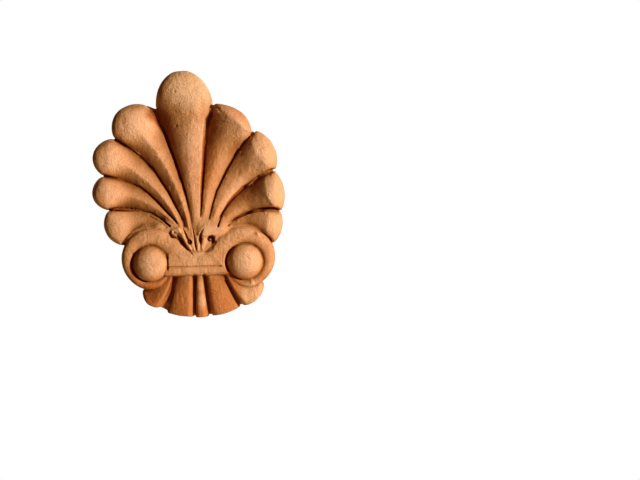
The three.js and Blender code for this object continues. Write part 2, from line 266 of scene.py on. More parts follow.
def shapeRing(mesh, ring):
    # The selected ring stands across its spine: its top takes the arch's heights and its bow
    along = Vector((math.cos(ring["heading"]), math.sin(ring["heading"])))
    across = Vector((along.y, -along.x))
    ridge = ring.get("ridge", 0)
    centre = Vector((ring["x"], ring["y"]))
    for vert in mesh.verts:
        if not vert.select:
            continue
        q = (vert.co.xy - centre).dot(across) / ring["half"]
        bow = ring.get("bow", 0) * min(1, q * q) + ring.get("tilt", 0) * q
        flat = centre + across * q * ring["half"] + along * bow
        vert.co.x, vert.co.y = flat
        if vert.co.z > -clayBelow / 2:
            side = 1 if q >= ridge else -1
            away = min(1, abs(q - ridge) / (1 - side * ridge))
            edge, roundness = ring["edge"], ring.get("round", 2)
            if side > 0:
                edge, roundness = ring.get("farEdge", edge), ring.get("farRound", roundness)
            vert.co.z = ridgeHeight(away, edge, ring["crest"], roundness)


def ridgeThrough(name, rings):
    # A ridge extruded ring by ring along its spine, with the ring turned and scaled at each
    first = rings[0]
    ridge = first.get("ridge", 0)
    top = [ridge - away * (1 + ridge) for away in rowsAway] + [ridge]
    top += [ridge + away * (1 - ridge) for away in reversed(rowsAway)]
    selectNothing()
    bpy.ops.mesh.primitive_circle_add(vertices=len(top) + 2, radius=first["half"], fill_type="NGON")
    piece = bpy.context.object
    piece.name = name
    bpy.ops.object.mode_set(mode="EDIT")
    mesh = bmesh.from_edit_mesh(piece.data)
    mesh.verts.ensure_lookup_table()
    across = Vector((math.sin(first["heading"]), -math.cos(first["heading"])))
    for i, q in enumerate([*top, 1, -1]):
        at = Vector((first["x"], first["y"])) + across * q * first["half"]
        mesh.verts[i].co = (at.x, at.y, 1 if i < len(top) else -clayBelow)
    shapeRing(mesh, first)
    bmesh.update_edit_mesh(piece.data)
    for before, ring in zip(rings, rings[1:]):
        step = (ring["x"] - before["x"], ring["y"] - before["y"], 0)
        bpy.ops.mesh.extrude_region_move(TRANSFORM_OT_translate={"value": step})
        turn = ring["heading"] - before["heading"]
        turn = math.atan2(math.sin(turn), math.cos(turn))
        centre = (ring["x"], ring["y"], 0)
        if abs(turn) > 1e-6:
            bpy.ops.transform.rotate(value=-turn, orient_axis="Z", center_override=centre)
        grow = ring["half"] / before["half"]
        bpy.ops.transform.resize(value=(grow, grow, 1), center_override=centre)
        mesh = bmesh.from_edit_mesh(piece.data)
        shapeRing(mesh, ring)
        bmesh.update_edit_mesh(piece.data)
    # The edges under the back stay sharp, so the walls come down straight
    bpy.ops.mesh.select_all(action="DESELECT")
    mesh = bmesh.from_edit_mesh(piece.data)
    for edge in mesh.edges:
        edge.select = all(vert.co.z < -clayBelow / 2 for vert in edge.verts)
    bmesh.update_edit_mesh(piece.data)
    bpy.ops.transform.edge_crease(value=1)
    bpy.ops.mesh.select_all(action="SELECT")
    bpy.ops.mesh.normals_make_consistent(inside=False)
    bpy.ops.object.mode_set(mode="OBJECT")
    soften = piece.modifiers.new("soften", "SUBSURF")
    soften.levels = 2
    soften.render_levels = 2
    bpy.ops.object.modifier_apply(modifier="soften")
    return piece


def ridgeAlong(name, line, edge, crest):
    # A ridge of even height through some points: x, y, half-width
    rings = []
    for i, (x, y, half) in enumerate(line):
        before, after = line[max(0, i - 1)], line[min(len(line) - 1, i + 1)]
        rings.append({"x": x, "y": y, "half": half, "edge": edge, "crest": crest,
                      "heading": math.atan2(after[1] - before[1], after[0] - before[0])})
    return ridgeThrough(name, rings)


def arcBetween(start, end, bend):
    # The arc from one point to another that turns by a bend, as a function of its share
    turn = math.radians(bend)
    chord = math.dist(start, end)
    heading = math.atan2(end[1] - start[1], end[0] - start[0]) - turn / 2
    length = chord * turn / (2 * math.sin(turn / 2)) if turn else chord

    def at(share):
        swept = turn * share / 2
        reach = length * share * (math.sin(swept) / swept if swept else 1)
        return {
            "x": start[0] + reach * math.cos(heading + swept),
            "y": start[1] + reach * math.sin(heading + swept),
            "heading": heading + turn * share,
        }

    return at


def plateOf(name, points, top):
    # A flat-topped plate of clay through some points of its outline
    selectNothing()
    bpy.ops.mesh.primitive_circle_add(vertices=len(points), radius=20, fill_type="NGON")
    piece = bpy.context.object
    piece.name = name
    bpy.ops.object.mode_set(mode="EDIT")
    mesh = bmesh.from_edit_mesh(piece.data)
    mesh.verts.ensure_lookup_table()
    for vert, point in zip(mesh.verts, points):
        vert.co = (point[0], point[1], -clayBelow)
    bmesh.update_edit_mesh(piece.data)
    bpy.ops.mesh.extrude_region_move(TRANSFORM_OT_translate={"value": (0, 0, top + clayBelow)})
    bpy.ops.mesh.select_all(action="SELECT")
    bpy.ops.mesh.normals_make_consistent(inside=False)
    bpy.ops.object.mode_set(mode="OBJECT")
    return piece


def cutFrom(pieces, tool):
    # The tool's shape is taken out of each piece
    for piece in pieces:
        selectOnly([piece])
        cut = piece.modifiers.new("cut", "BOOLEAN")
        cut.operation = "DIFFERENCE"
        cut.solver = "EXACT"
        cut.object = tool
        bpy.ops.object.modifier_apply(modifier="cut")


def applied():
    # The piece just added, with its place and size settled in its points
    bpy.ops.object.transform_apply(location=True, rotation=True, scale=True)
    return bpy.context.object


def lobeOn(root, lobe):
    # A lobe's half-width, the middle of its mouth, the way out of it, its spine from the root,
    # and the turn that the spine still needs there
    (ax, ay), (bx, by) = lobe["from"], lobe["to"]
    neck = ((ax + bx) / 2, (ay + by) / 2)
    outward = math.atan2(ax - bx, by - ay) + math.pi
    spine = arcBetween(root, neck, lobe["bend"])
    skew = outward - spine(1)["heading"]
    skew = math.atan2(math.sin(skew), math.cos(skew))
    return math.dist((ax, ay), (bx, by)) / 2, neck, outward, spine, skew


clay = []  # every form, to be pressed into one


petalShape = {
    "rootY": -32, "gap": 0.75, "stemShare": 0.17, "stemTaper": 1.3,
    "bulbDepth": 26, "bulbRound": 2.3, "dishDepth": 17.5, "dishLength": 9,
    "stemDepth": 24, "stemRound": 1.12, "edgeDepth": 15, "roofSlope": 0.5, "eaveDrop": 1,
    "stemRings": 8, "dishRings": (0.84, 0.68, 0.53, 0.39, 0.26, 0.15, 0.07),
    "bulbRings": (1, 0.93, 0.84, 0.72, 0.6, 0.48, 0.37, 0.27, 0.18, 0.11, 0.055, 0.02),
}
# From the lowest on the left, over the crown, to the lowest on the right. A petal reaches out from
# the notches beside its bulb, and a far value is one for its clockwise side
petals = [
    {"root": -13, "from": (-60.5, -40), "to": (-72, -11), "reach": 8.8, "bend": 66, "bulb": 11, "low": 1.5,
     "lip": 0.2, "dome": 3, "slope": 0.2, "dish": 20.5},
    {"root": -12, "from": (-72, -11), "to": (-75.5, 17), "reach": 10.7, "bend": 56, "bulb": 12, "low": 0.5,
     "lip": 0.2, "dome": 3, "slope": 0.52, "farLow": 2, "farRound": 2},
    {"root": -10.5, "from": (-75.5, 17), "to": (-66, 47), "reach": 12.4, "bend": 46, "bulb": 14, "leaf": 0,
     "lip": 0.2, "dome": 3, "slope": 0.56, "farLow": 4, "farRound": 2},
    {"root": -5.3, "from": (-66, 47), "to": (-38.6, 73.2), "reach": 13, "bend": 35, "bulb": 16, "leaf": 1,
     "lip": 0.2, "dome": 2.8, "taper": 1.1, "slope": 0.58, "farLow": 7, "farRound": 1.7},
    {"root": -0.2, "from": (-32, 70.5), "to": (14, 73.5), "reach": 28.7, "bend": 0, "bulb": 24, "leaf": 2,
     "lip": 0.6, "slope": 0.54, "stemRound": 1.5, "taper": 1.6, "lean": 0.35, "dish": 20.5, "run": 19,
     "farSlope": 0.24, "stemSlope": 0.05},
    {"root": 5.6, "from": (14.5, 71), "to": (47, 50), "reach": 8.4, "bend": -31, "bulb": 9, "leaf": 3,
     "tilt": -2.5, "slope": 0.5, "dish": 15, "lean": 0.25, "farSlope": 0.22, "stemRound": 1.35},
    {"root": 10.4, "from": (47, 50), "to": (62, 18), "reach": 9.7, "bend": -46, "bulb": 15,
     "bow": 3, "slope": 0.32, "dish": 16.3, "lean": 0.42, "farSlope": 0.25, "stemRound": 1.35, "top": 24.5},
    {"root": 15, "from": (62, 18), "to": (66.5, -15), "reach": 6.7, "bend": -57, "bulb": 14, "low": 0.5,
     "bow": 3, "slope": 0.38, "dish": 15, "lean": 0.55, "farSlope": 0.2, "stemRound": 1.35, "top": 25},
    {"root": 19, "from": (66.5, -15), "to": (60, -41), "reach": 5, "bend": -66, "bulb": 12, "low": 1.5,
     "bow": 2, "slope": 0.16, "dish": 19.5, "lean": 0.2, "farSlope": 0.2, "stemRound": 1.35},
]
calyxLeaf = {"depth": 26.8, "edge": 25, "round": 1.8}
calyxLeaves = [  # tip and middle: x, y, half-width
    ((-5, -45.5, 0.8), (-10, -38, 2)),
    ((-2, -47, 0.9), (-4.9, -38, 2.7)),
    ((0.3, -47.5, 0.9), (0.6, -38, 2.3)),
    ((3, -46.5, 1.2), (6, -37.5, 3)),
]


def petalRings(petal):
    # A petal's rings, from its calyx leaf or its root to its tip
    shape = petalShape
    root = (petal["root"], shape["rootY"])
    wide, neck, outward, spine, skew = lobeOn(root, petal)
    length = math.dist(root, neck)
    reach, bulb, low = petal["reach"], petal["bulb"], petal.get("low", 0)
    dishRun = petal.get("run", shape["dishLength"] + length / 6)
    whole = length + reach
    toTips = list(np.linspace(whole, bulb + dishRun, shape["stemRings"]))
    toTips += [bulb + dishRun * share for share in shape["dishRings"]]
    toTips += [bulb * share for share in shape["bulbRings"]]
    rings = []
    if "leaf" in petal:
        tip, middle = calyxLeaves[petal["leaf"]]
        lean = math.atan2(shape["rootY"] - tip[1], (middle[0] - tip[0]) / 2)
        for (x, y, half), heading in ((tip, lean), (middle, math.pi / 2)):
            rings.append({"x": x, "y": y, "half": half, "heading": heading, "edge": calyxLeaf["edge"],
                          "crest": calyxLeaf["depth"], "round": calyxLeaf["round"]})
    for toTip in toTips:
        if toTip >= reach:
            s = max(0, 1 - (toTip - reach) / length)
            at = spine(s)
            at["heading"] += skew * s ** 3
            half = wide * mixed(shape["stemShare"], 1, s ** petal.get("taper", shape["stemTaper"]))
        else:
            t = 1 - toTip / reach
            at = {"x": neck[0] + reach * t * math.cos(outward), "y": neck[1] + reach * t * math.sin(outward),
                  "heading": outward}
            half = wide * math.sqrt((1 - t) * (1 + t * min(1, (reach / wide) ** 2)))
        half -= shape["gap"] * eased((toTip - reach + 2) / 4)
        fall = min(1, max(0, (toTip - bulb) / dishRun))
        dish = mixed(eased(fall), mixed(fall, math.sin(math.pi / 2 * fall), 0.6), petal.get("lip", 1))
        stem = eased((toTip - bulb - dishRun) / (whole - bulb - dishRun))
        domeRound = petal.get("dome", shape["bulbRound"])
        stemRound = petal.get("stemRound", shape["stemRound"])
        dome = ridgeHeight(max(0, 1 - toTip / bulb), 0, 1, domeRound)
        crest = mixed(mixed(shape["edgeDepth"], petal.get("top", shape["bulbDepth"]), dome),
                      mixed(petal.get("dish", shape["dishDepth"]), shape["stemDepth"], stem), dish) - low
        nearDish = eased(toTip / bulb) * eased((bulb + 3 * dishRun - toTip) / (2 * dishRun))
        lean = petal.get("lean", 0) * nearDish
        slope = petal.get("slope", shape["roofSlope"])
        stemSlope = petal.get("stemSlope", shape["roofSlope"])
        farSlope = mixed(stemSlope, petal.get("farSlope", stemSlope), nearDish)
        toEave = eased(toTip / (bulb + dishRun / 2))
        eave = crest - slope * half * (1 + lean) - shape["eaveDrop"]
        farEave = crest - farSlope * half * (1 - lean) - shape["eaveDrop"]
        toStem = eased((toTip - 0.6 * bulb) / dishRun)
        nearLip = eased(toTip / bulb) * eased((bulb + dishRun - toTip) / dishRun)
        rings.append({
            **at,
            "half": max(0.3, half),
            "edge": mixed(shape["edgeDepth"] - low, eave, toEave),
            "farEdge": mixed(shape["edgeDepth"] - low - petal.get("farLow", 0), farEave, toEave),
            "crest": crest,
            "ridge": lean,
            "round": mixed(domeRound, stemRound, toStem),
            "farRound": mixed(petal.get("farRound", domeRound), stemRound, toStem),
            "bow": petal.get("bow", 0) * nearLip,
            "tilt": petal.get("tilt", 0) * nearLip,
        })
    return rings


for number, petal in enumerate(petals):
    clay.append(ridgeThrough(f"petal{number}", petalRings(petal)))
print("petals shaped")


groundShape = {
    "depth": 8, "foot": (-1, -55),
    # A low cone under the calyx
    "rise": {"x": -1, "y": -25, "top": 18, "topRadius": 9, "radius": 60, "sides": 64},
}
calyx = {
    "outline": [(0, -49), (-14, -38), (-20, -29), (-10, -29), (8, -29), (22, -29), (14, -38)],
    "depth": 25, "hookEdge": 23.5, "hookDepth": 27.7, "moundEdge": 20,
    "hook": [  # x, y, half-width
        (-20.8, -31.5, 1.1), (-20, -28.8, 1.9), (-17, -27, 2.3), (-13.8, -28.6, 2.5), (-11.8, -32, 2.5),
        (-9.8, -36, 2), (-7, -41, 1.4), (-4.2, -46, 0.8),
    ],
    "mound": [  # x, y, half-width, crest
        (-1, -31, 5, 26.4), (4, -30, 7, 28), (11, -30, 8, 28), (18, -29.5, 7, 27.2), (26, -28, 5, 26.2),
    ],
}

notches = [point for petal in petals for point in (petal["from"], petal["to"])]
clay.append(plateOf("palmetteGround", [groundShape["foot"], *notches], groundShape["depth"]))
rise = groundShape["rise"]
selectNothing()
bpy.ops.mesh.primitive_cone_add(vertices=rise["sides"], radius1=rise["radius"],
                                radius2=rise["topRadius"], depth=rise["top"],
                                location=(rise["x"], rise["y"], rise["top"] / 2))
clay.append(applied())
clay.append(plateOf("calyxGround", calyx["outline"], calyx["depth"]))
clay.append(ridgeThrough("mound", [
    {"x": x, "y": y, "half": half, "heading": 0, "edge": calyx["moundEdge"], "crest": crest}
    for x, y, half, crest in calyx["mound"]]))
clay.append(ridgeAlong("hook", calyx["hook"], calyx["hookEdge"], calyx["hookDepth"]))
print("calyx shaped")


scroll = {
    "spacing": 76, "y": -55, "topRadius": 28.2, "sideRadius": 21.4, "endRadius": 18, "innerRadius": 14,
    "sweep": 240, "depth": 27, "endDepth": 22, "edge": 20.5, "edgeFall": 4, "round": 2.4, "rings": 33,
    "floor": 18.5, "baseAbove": 1, "socketRadius": 14.9, "socketShift": (-1.4, -0.4), "socketDepth": 30,
    "ballRadius": 14.6, "ballHeight": 21.2, "ballRise": 11.2, "ballSides": 64, "sides": 96,
}
saddle = {"y": -54, "half": 5.2, "fullHalf": 9, "run": 21, "lift": (15, 1.5), "rings": 14}
fillet = {
    "top": -59, "height": 6.8, "depth": 26.5, "edge": 20, "round": 2.6, "reach": 30, "rings": 9,
    "fieldTop": -47, "fieldFoot": -63, "fieldDepth": 26.8,
}

# One band runs from scroll to scroll over the saddle: its right half is laid out and mirrored
rightBand = []
for i in range(scroll["rings"]):
    t = i / (scroll["rings"] - 1)
    bearing = math.radians(90 - scroll["sweep"] * t)
    outer = mixed(scroll["topRadius"], scroll["sideRadius"], eased(t / 0.6))
    outer = mixed(outer, scroll["endRadius"], eased((t - 0.7) / 0.3))
    radius = (outer + scroll["innerRadius"]) / 2
    rightBand.append({
        "x": scroll["spacing"] / 2 + radius * math.cos(bearing),
        "y": scroll["y"] + radius * math.sin(bearing),
        "heading": bearing - math.pi / 2,
        "half": (outer - scroll["innerRadius"]) / 2,
        "edge": scroll["edge"] - scroll["edgeFall"] * t,
        "crest": mixed(scroll["depth"], scroll["endDepth"], t),
        "round": scroll["round"],
    })
joinX, joinY, joinHalf = (rightBand[0][key] for key in ("x", "y", "half"))
liftX, liftY = saddle["lift"]
swag = [Vector((0, saddle["y"])), Vector((joinX - saddle["run"], saddle["y"])),
        Vector((joinX - liftX, joinY + liftY)), Vector((joinX, joinY))]
halfSaddle = []
for i in range(saddle["rings"]):
    t = i / saddle["rings"]
    u = 1 - t
    at = swag[0] * u ** 3 + swag[1] * 3 * t * u ** 2 + swag[2] * 3 * t ** 2 * u + swag[3] * t ** 3
    along = (swag[1] - swag[0]) * u ** 2 + (swag[2] - swag[1]) * 2 * t * u + (swag[3] - swag[2]) * t ** 2
    halfSaddle.append({
        "x": at.x, "y": at.y, "heading": math.atan2(along.y, along.x),
        "half": mixed(mixed(saddle["half"], joinHalf, t), saddle["fullHalf"], math.sin(math.pi * t) ** 2),
        "edge": scroll["edge"], "crest": scroll["depth"], "round": scroll["round"],
    })
rightHalf = halfSaddle + rightBand
leftHalf = [{**ring, "x": -ring["x"], "heading": -ring["heading"]} for ring in reversed(rightHalf[1:])]
band = ridgeThrough("scrollBand", leftHalf + rightHalf)

# Low clay between the petals and the scrolls, and webs between the tips
joins = [  # edge, crest, then points: x, y, half-width
    (17, 22, (-60, -37.5, 1.8), (-52, -30.5, 4), (-43, -28, 4.5), (-33, -27.5, 4.5), (-24, -29, 4)),
    (16.5, 21.5, (58, -37.5, 1.5), (51, -31.5, 2.8), (43, -28.5, 3.5), (33, -27.5, 4), (24, -29, 4)),
    (20, 25, (-36, -25.5, 2), (-30, -25, 4), (-24, -26.5, 5.5), (-19, -30, 5), (-15, -35, 3)),
    (20, 25.2, (13, -38.5, 2.5), (9.5, -42, 3.2), (5.5, -45.5, 3), (1, -48.5, 2.5)),
    (20, 25, (-9, -43, 1.2), (-5.5, -46, 1.8), (-1, -48.5, 2.5)),
    (22, 27, (-19, -28.5, 1.2), (-16, -29.8, 2.2), (-13.6, -31, 1.6)),
    (9, 14, (17, 72.5, 2), (15.5, 68, 5.5), (14, 63, 5), (13, 58, 3)),
    (9, 14, (45.5, 49.5, 1.5), (43, 46, 3.5), (39, 41, 4), (34, 35, 3)),
    (11, 16, (60.5, 18, 1.5), (56, 16, 2.2), (50, 12.8, 0.8)),
    (9, 13, (54, 15, 1.5), (47, 11, 3), (40, 6, 1.5)),
    (12, 17, (65, -14.8, 1.5), (59, -14.6, 2.2), (52, -15, 0.8)),
    (9, 14, (57, -14.6, 1.5), (50, -15, 3), (42, -17, 1.5)),
    (8, 12.5, (-63.5, 46, 1.5), (-58, 41.5, 3), (-51, 37, 3), (-45, 32, 2)),
    (9, 14, (-74, 17, 1.5), (-67, 14.8, 2.2), (-60, 13.2, 0.8)),
    (10, 15, (-70.5, -11, 1.5), (-64, -11.5, 2.4), (-56, -12, 2), (-49, -12.2, 0.8)),
]
for number, (edge, crest, *line) in enumerate(joins):
    clay.append(ridgeAlong(f"join{number}", line, edge, crest))

fieldHalf = scroll["spacing"] / 2 - scroll["ballRadius"]
fieldCorners = [(-fieldHalf, fillet["fieldTop"]), (-fieldHalf, fillet["fieldFoot"]),
                (fieldHalf, fillet["fieldFoot"]), (fieldHalf, fillet["fieldTop"])]
field = plateOf("field", fieldCorners, fillet["fieldDepth"])
bar = {"y": fillet["top"] - fillet["height"] / 2, "heading": 0, "half": fillet["height"] / 2,
       "edge": fillet["edge"], "crest": fillet["depth"], "round": fillet["round"]}
barPlaces = np.linspace(-fillet["reach"], fillet["reach"], fillet["rings"])
filletBar = ridgeThrough("fillet", [{**bar, "x": x} for x in barPlaces])

shiftX, shiftY = scroll["socketShift"]
baseTop = scroll["floor"] + scroll["baseAbove"]
sockets = []
for side in (-1, 1):
    x, y = side * scroll["spacing"] / 2, scroll["y"]
    selectNothing()
    bpy.ops.mesh.primitive_cylinder_add(
        vertices=scroll["sides"], radius=scroll["socketRadius"], depth=scroll["socketDepth"],
        location=(x + shiftX, y + shiftY, scroll["floor"] + scroll["socketDepth"] / 2))
    sockets.append(applied())
    selectNothing()
    bpy.ops.mesh.primitive_cylinder_add(
        vertices=scroll["sides"], radius=scroll["endRadius"], depth=baseTop + clayBelow,
        location=(x, y, (baseTop - clayBelow) / 2))
    clay.append(applied())
for socket in sockets:
    cutFrom([band, field, filletBar, clay[-1], clay[-2]], socket)
    bpy.data.objects.remove(socket)
clay += [band, field, filletBar]
for side in (-1, 1):
    selectNothing()
    bpy.ops.mesh.primitive_uv_sphere_add(
        segments=scroll["ballSides"], ring_count=scroll["ballSides"] // 2, radius=scroll["ballRadius"],
        location=(side * scroll["spacing"] / 2, scroll["y"], scroll["ballHeight"]))
    bpy.ops.transform.resize(value=(1, 1, scroll["ballRise"] / scroll["ballRadius"]))
    clay.append(applied())
print("scrolls shaped")


foot = {
    "rootY": -62.4, "depth": 23, "endDepth": 20, "edge": 18, "endEdge": 13, "rings": 10, "endRings": 6,
    "groundDepth": 15.8, "groundShare": (0.98, 0.985),
}
footLeaves = [  # from the left
    {"root": -22, "half": 2, "from": (-33.8, -91), "to": (-46, -76), "reach": 4.3, "bend": -30,
     "ridge": -0.75, "round": 1.7},
    {"root": -10.9, "half": 6.6, "from": (-5.2, -98.9), "to": (-27, -95), "reach": 0.8, "bend": -4,
     "ridge": -0.62, "round": 1.7},
    {"root": 0.9, "half": 3.1, "from": (6.6, -99), "to": (-3.4, -99.3), "reach": 0.3, "bend": 0,
     "ridge": 0, "round": 2.5},
    {"root": 12.9, "half": 7.4, "from": (32.4, -91.8), "to": (9.8, -98.4), "reach": 1.6, "bend": 4,
     "ridge": 0.3, "round": 2.4},
    {"root": 23, "half": 2.2, "from": (52, -73), "to": (35.4, -90.9), "reach": 5.2, "bend": 20,
     "ridge": 0.65, "round": 2.2},
]


def footLeafRings(leaf):
    # A foot leaf's rings, from under the fillet to its end
    wide, neck, outward, spine, skew = lobeOn((leaf["root"], foot["rootY"]), leaf)
    rings = []
    for i in range(foot["rings"] + 1):
        s = i / foot["rings"]
        at = spine(s)
        at["heading"] += skew * s ** 3
        rings.append({**at, "half": mixed(leaf["half"], wide, s),
                      "edge": mixed(foot["edge"], foot["endEdge"], s),
                      "crest": mixed(foot["depth"], foot["endDepth"], s),
                      "ridge": leaf["ridge"], "round": leaf["round"]})
    for i in range(1, foot["endRings"] + 1):
        t = math.sin(math.pi / 2 * i / (foot["endRings"] + 1))
        rings.append({**rings[foot["rings"]], "x": neck[0] + leaf["reach"] * t * math.cos(outward),
                      "y": neck[1] + leaf["reach"] * t * math.sin(outward), "heading": outward,
                      "half": wide * math.sqrt((1 - t) * (1 + t * (leaf["reach"] / wide) ** 2))})
    return rings


for number, leaf in enumerate(footLeaves):
    clay.append(ridgeThrough(f"footLeaf{number}", footLeafRings(leaf)))
shareX, shareY = foot["groundShare"]
ends = [(x * shareX, y * shareY) for leaf in footLeaves for x, y in (leaf["to"], leaf["from"])]
clay.append(plateOf("footGround", [groundShape["foot"], *ends], foot["groundDepth"]))
print("foot shaped")


pressing = {"voxel": 0.5, "faces": 190000}

# All the clay is pressed into one and struck off flat at the back
selectOnly(clay)
bpy.ops.object.join()
antefix = bpy.context.object
antefix.name = "pressedAntefix"
remesh = antefix.modifiers.new("press", "REMESH")
remesh.mode = "VOXEL"
remesh.voxel_size = pressing["voxel"]
bpy.ops.object.modifier_apply(modifier="press")
bpy.ops.object.mode_set(mode="EDIT")
bpy.ops.mesh.select_all(action="SELECT")
bpy.ops.mesh.bisect(plane_co=(0, 0, 0), plane_no=(0, 0, 1), use_fill=True, clear_inner=True)
bpy.ops.object.mode_set(mode="OBJECT")
print("pressed into one:", len(antefix.data.polygons), "faces")


grid = {"cell": 0.7, "margin": 24}  # of the pictures of the relief's heights


def blurred(picture, reach):
    # A Gaussian blur, done in the picture's frequencies
    rows = np.fft.fftfreq(picture.shape[0])[:, None]
    columns = np.fft.rfftfreq(picture.shape[1])[None, :]
    fade = np.exp(-2 * (math.pi * reach) ** 2 * (rows ** 2 + columns ** 2))
    return np.fft.irfft2(np.fft.rfft2(picture) * fade, picture.shape)


def lookUp(picture, x, y):
    # The picture between its cells
    i, j = np.floor(y).astype(int), np.floor(x).astype(int)
    fy, fx = y - i, x - j
    upper = picture[i, j] * (1 - fx) + picture[i, j + 1] * fx
    lower = picture[i + 1, j] * (1 - fx) + picture[i + 1, j + 1] * fx
    return upper * (1 - fy) + lower * fy


def heightPicture(points):
    # The relief as a picture of heights, the cells it covers, and where each point lies in it
    lowest = points.min(0) - grid["margin"]
    size = np.ceil((points.max(0) + grid["margin"] - lowest) / grid["cell"]).astype(int)
    x, y = ((points[:, :2] - lowest[:2]) / grid["cell"]).T
    depths = np.zeros((size[1] + 1, size[0] + 1))
    np.maximum.at(depths, (np.round(y).astype(int), np.round(x).astype(int)), points[:, 2])
    for times in range(3):  # cells that no point fell in take their neighbours' depth
        around = [np.roll(depths, step, axis) for step in (-1, 1) for axis in (0, 1)]
        beside = np.sum([near > 0 for near in around], axis=0)
        depths = np.where((depths == 0) & (beside >= 3), np.maximum.reduce(around), depths)
    return depths, (depths > 0).astype(float), x, y


def levelAround(depths, covered, reach):
    # The mean height within a reach of each cell, and the share of cells that the relief covers
    share = blurred(covered, reach / grid["cell"])
    return blurred(depths, reach / grid["cell"]) / np.maximum(share, 0.05), share


thumbed = {  # places rubbed smooth: x, y, radius
    "reach": 2,
    "places": [(3, -23, 6), (10, -23, 6), (18, -24, 6), (25, -25, 6), (-12, -22, 4), (16, 67, 5), (42, 46, 4),
               (-19, -25, 4), (0, -26, 5), (-25, -26, 6), (-10.5, -28.5, 3), (-38, -23, 8)],
}
handwork = {
    "swells": [(7, 0.16), (2.4, 0.11), (1.1, 0.06)],  # reach and usual height of the unevenness
    "crumbs": 90, "crumbRadius": (0.5, 1), "crumbHeight": (0.25, 0.8), "crumbReach": 1.6,
    "grooveSteepness": 7, "slotSteepness": 4, "seed": 11,
    "toolAbove": 1, "swellAbove": 4, "rubAbove": 6,  # height above the back from which each one works
}
grooves = [  # x, y, width at the floor, depth of the floor above the back
    [(-33.5, 73, 4.5, 8), (-29.7, 60, 2.4, 5), (-24.8, 50, 1.8, 5), (-21.5, 40, 1.3, 6.5),
     (-17.8, 30, 1, 8.5), (-14.3, 20, 0.8, 11), (-11.3, 10, 0.6, 13.5), (-8.5, 0, 0.6, 16),
     (-6, -12, 0.4, 19)],
    [(-62, 45, 0.2, 12), (-55, 40, 0.3, 10.5), (-45, 32, 0.6, 8.5), (-35, 22, 0.9, 9), (-29, 12, 1, 10),
     (-23, 3, 1, 11.5), (-18, -7, 0.9, 14), (-14, -15, 0.6, 17), (-12, -20, 0.4, 19)],
    [(-71, 16, 0.2, 14.5), (-65, 14.5, 0.2, 13.5), (-55, 12, 0.3, 11.5), (-45, 7, 0.5, 10.5),
     (-37, 0, 0.8, 11), (-30, -7, 0.9, 12), (-23, -15, 0.7, 15), (-18, -20, 0.5, 17), (-16, -23, 0.4, 19)],
    [(-69, -11, 0.2, 15), (-65, -11.5, 0.2, 14.5), (-55, -12, 0.2, 13.5), (-45, -12, 0.3, 13),
     (-37, -14, 0.5, 13.5), (-29, -19, 0.6, 15), (-22, -25, 0.5, 18)],
    [(13.5, 65.5, 1.2, 10), (10.8, 60, 2.4, 7.5), (9, 50, 2.2, 7), (7.8, 40, 1.8, 7.5), (6.9, 30, 1.4, 9),
     (6.1, 20, 1.1, 11), (5.3, 10, 0.9, 13), (4.5, 0, 0.9, 15.5), (3.8, -10, 0.8, 18), (3, -18, 0.4, 21)],
    [(44, 45.3, 0.2, 13.5), (37, 38, 0.5, 11.5), (30, 28, 0.8, 9.5), (25, 20, 1.1, 9),
     (21, 12, 1.1, 10.5), (16, 2, 1, 13.5), (13, -8, 0.9, 17), (10, -20, 0.6, 20)],
    [(60, 17.5, 0.2, 17), (55, 15, 0.2, 15), (45, 10, 0.3, 11.5), (37, 5, 0.6, 10), (30, -2, 0.9, 11),
     (25, -8, 1, 13), (21, -15, 0.9, 16), (17, -26, 0.5, 20)],
    [(65, -15, 0.2, 18), (55, -15, 0.2, 17), (45, -15.5, 0.2, 15.5), (38, -18, 0.3, 15.5),
     (32, -21, 0.4, 16.5), (25, -26, 0.4, 20)],
]
slots = [  # in the calyx and the foot, as above
    [(-15.2, -33.4, 0.8, 22), (-13.9, -35.5, 1.5, 20.5), (-12.2, -38.5, 1.6, 20.5), (-9.6, -42, 0.8, 22),
     (-7, -45, 0.4, 23.5), (-4.2, -48, 0.2, 25)],
    [(-21.5, -29.5, 0.4, 22.5), (-21.7, -31.5, 1.1, 21.5), (-20.3, -33.8, 1.1, 21.5),
     (-17.8, -35, 0.3, 23.5)],
    [(-11.5, -26.5, 0.2, 24), (-9.5, -31, 0.4, 23), (-8, -35, 0.5, 22.5), (-6.8, -37.2, 0.6, 22.5)],
    [(-6.4, -38, 2, 21.5), (-6, -38.6, 2, 21.5)],
    [(-4.7, -24, 0.2, 24.5), (-3.4, -28, 0.4, 23.5), (-2.4, -33, 0.5, 23), (-1.9, -38, 0.5, 23),
     (-1.3, -42, 0.5, 23.5), (-0.3, -46.3, 0.2, 25)],
    [(5, -28.5, 0.2, 26), (3.6, -31, 0.3, 24), (2.7, -34, 0.9, 22), (2.4, -37, 1.3, 21),
     (2.7, -39.3, 0.5, 23)],
    [(10.2, -36.2, 3, 20.5), (11.8, -36.2, 3.4, 20), (12.2, -38.2, 2.4, 21), (11, -40.5, 1, 24)],
    [(-20, -69, 0.6, 16), (-21.5, -78, 1.6, 13.5), (-25, -87, 3, 10.5), (-29, -93.5, 5, 7)],
    [(-2.8, -67, 0.8, 15.5), (-4.3, -98, 1.2, 13.5)],
    [(4.9, -67, 0.8, 15.5), (6, -80, 1, 14.5), (8.2, -98, 1.8, 13)],
    [(22, -70, 0.4, 16), (28, -83, 0.9, 14.5), (33.8, -92, 2.6, 11)],
]
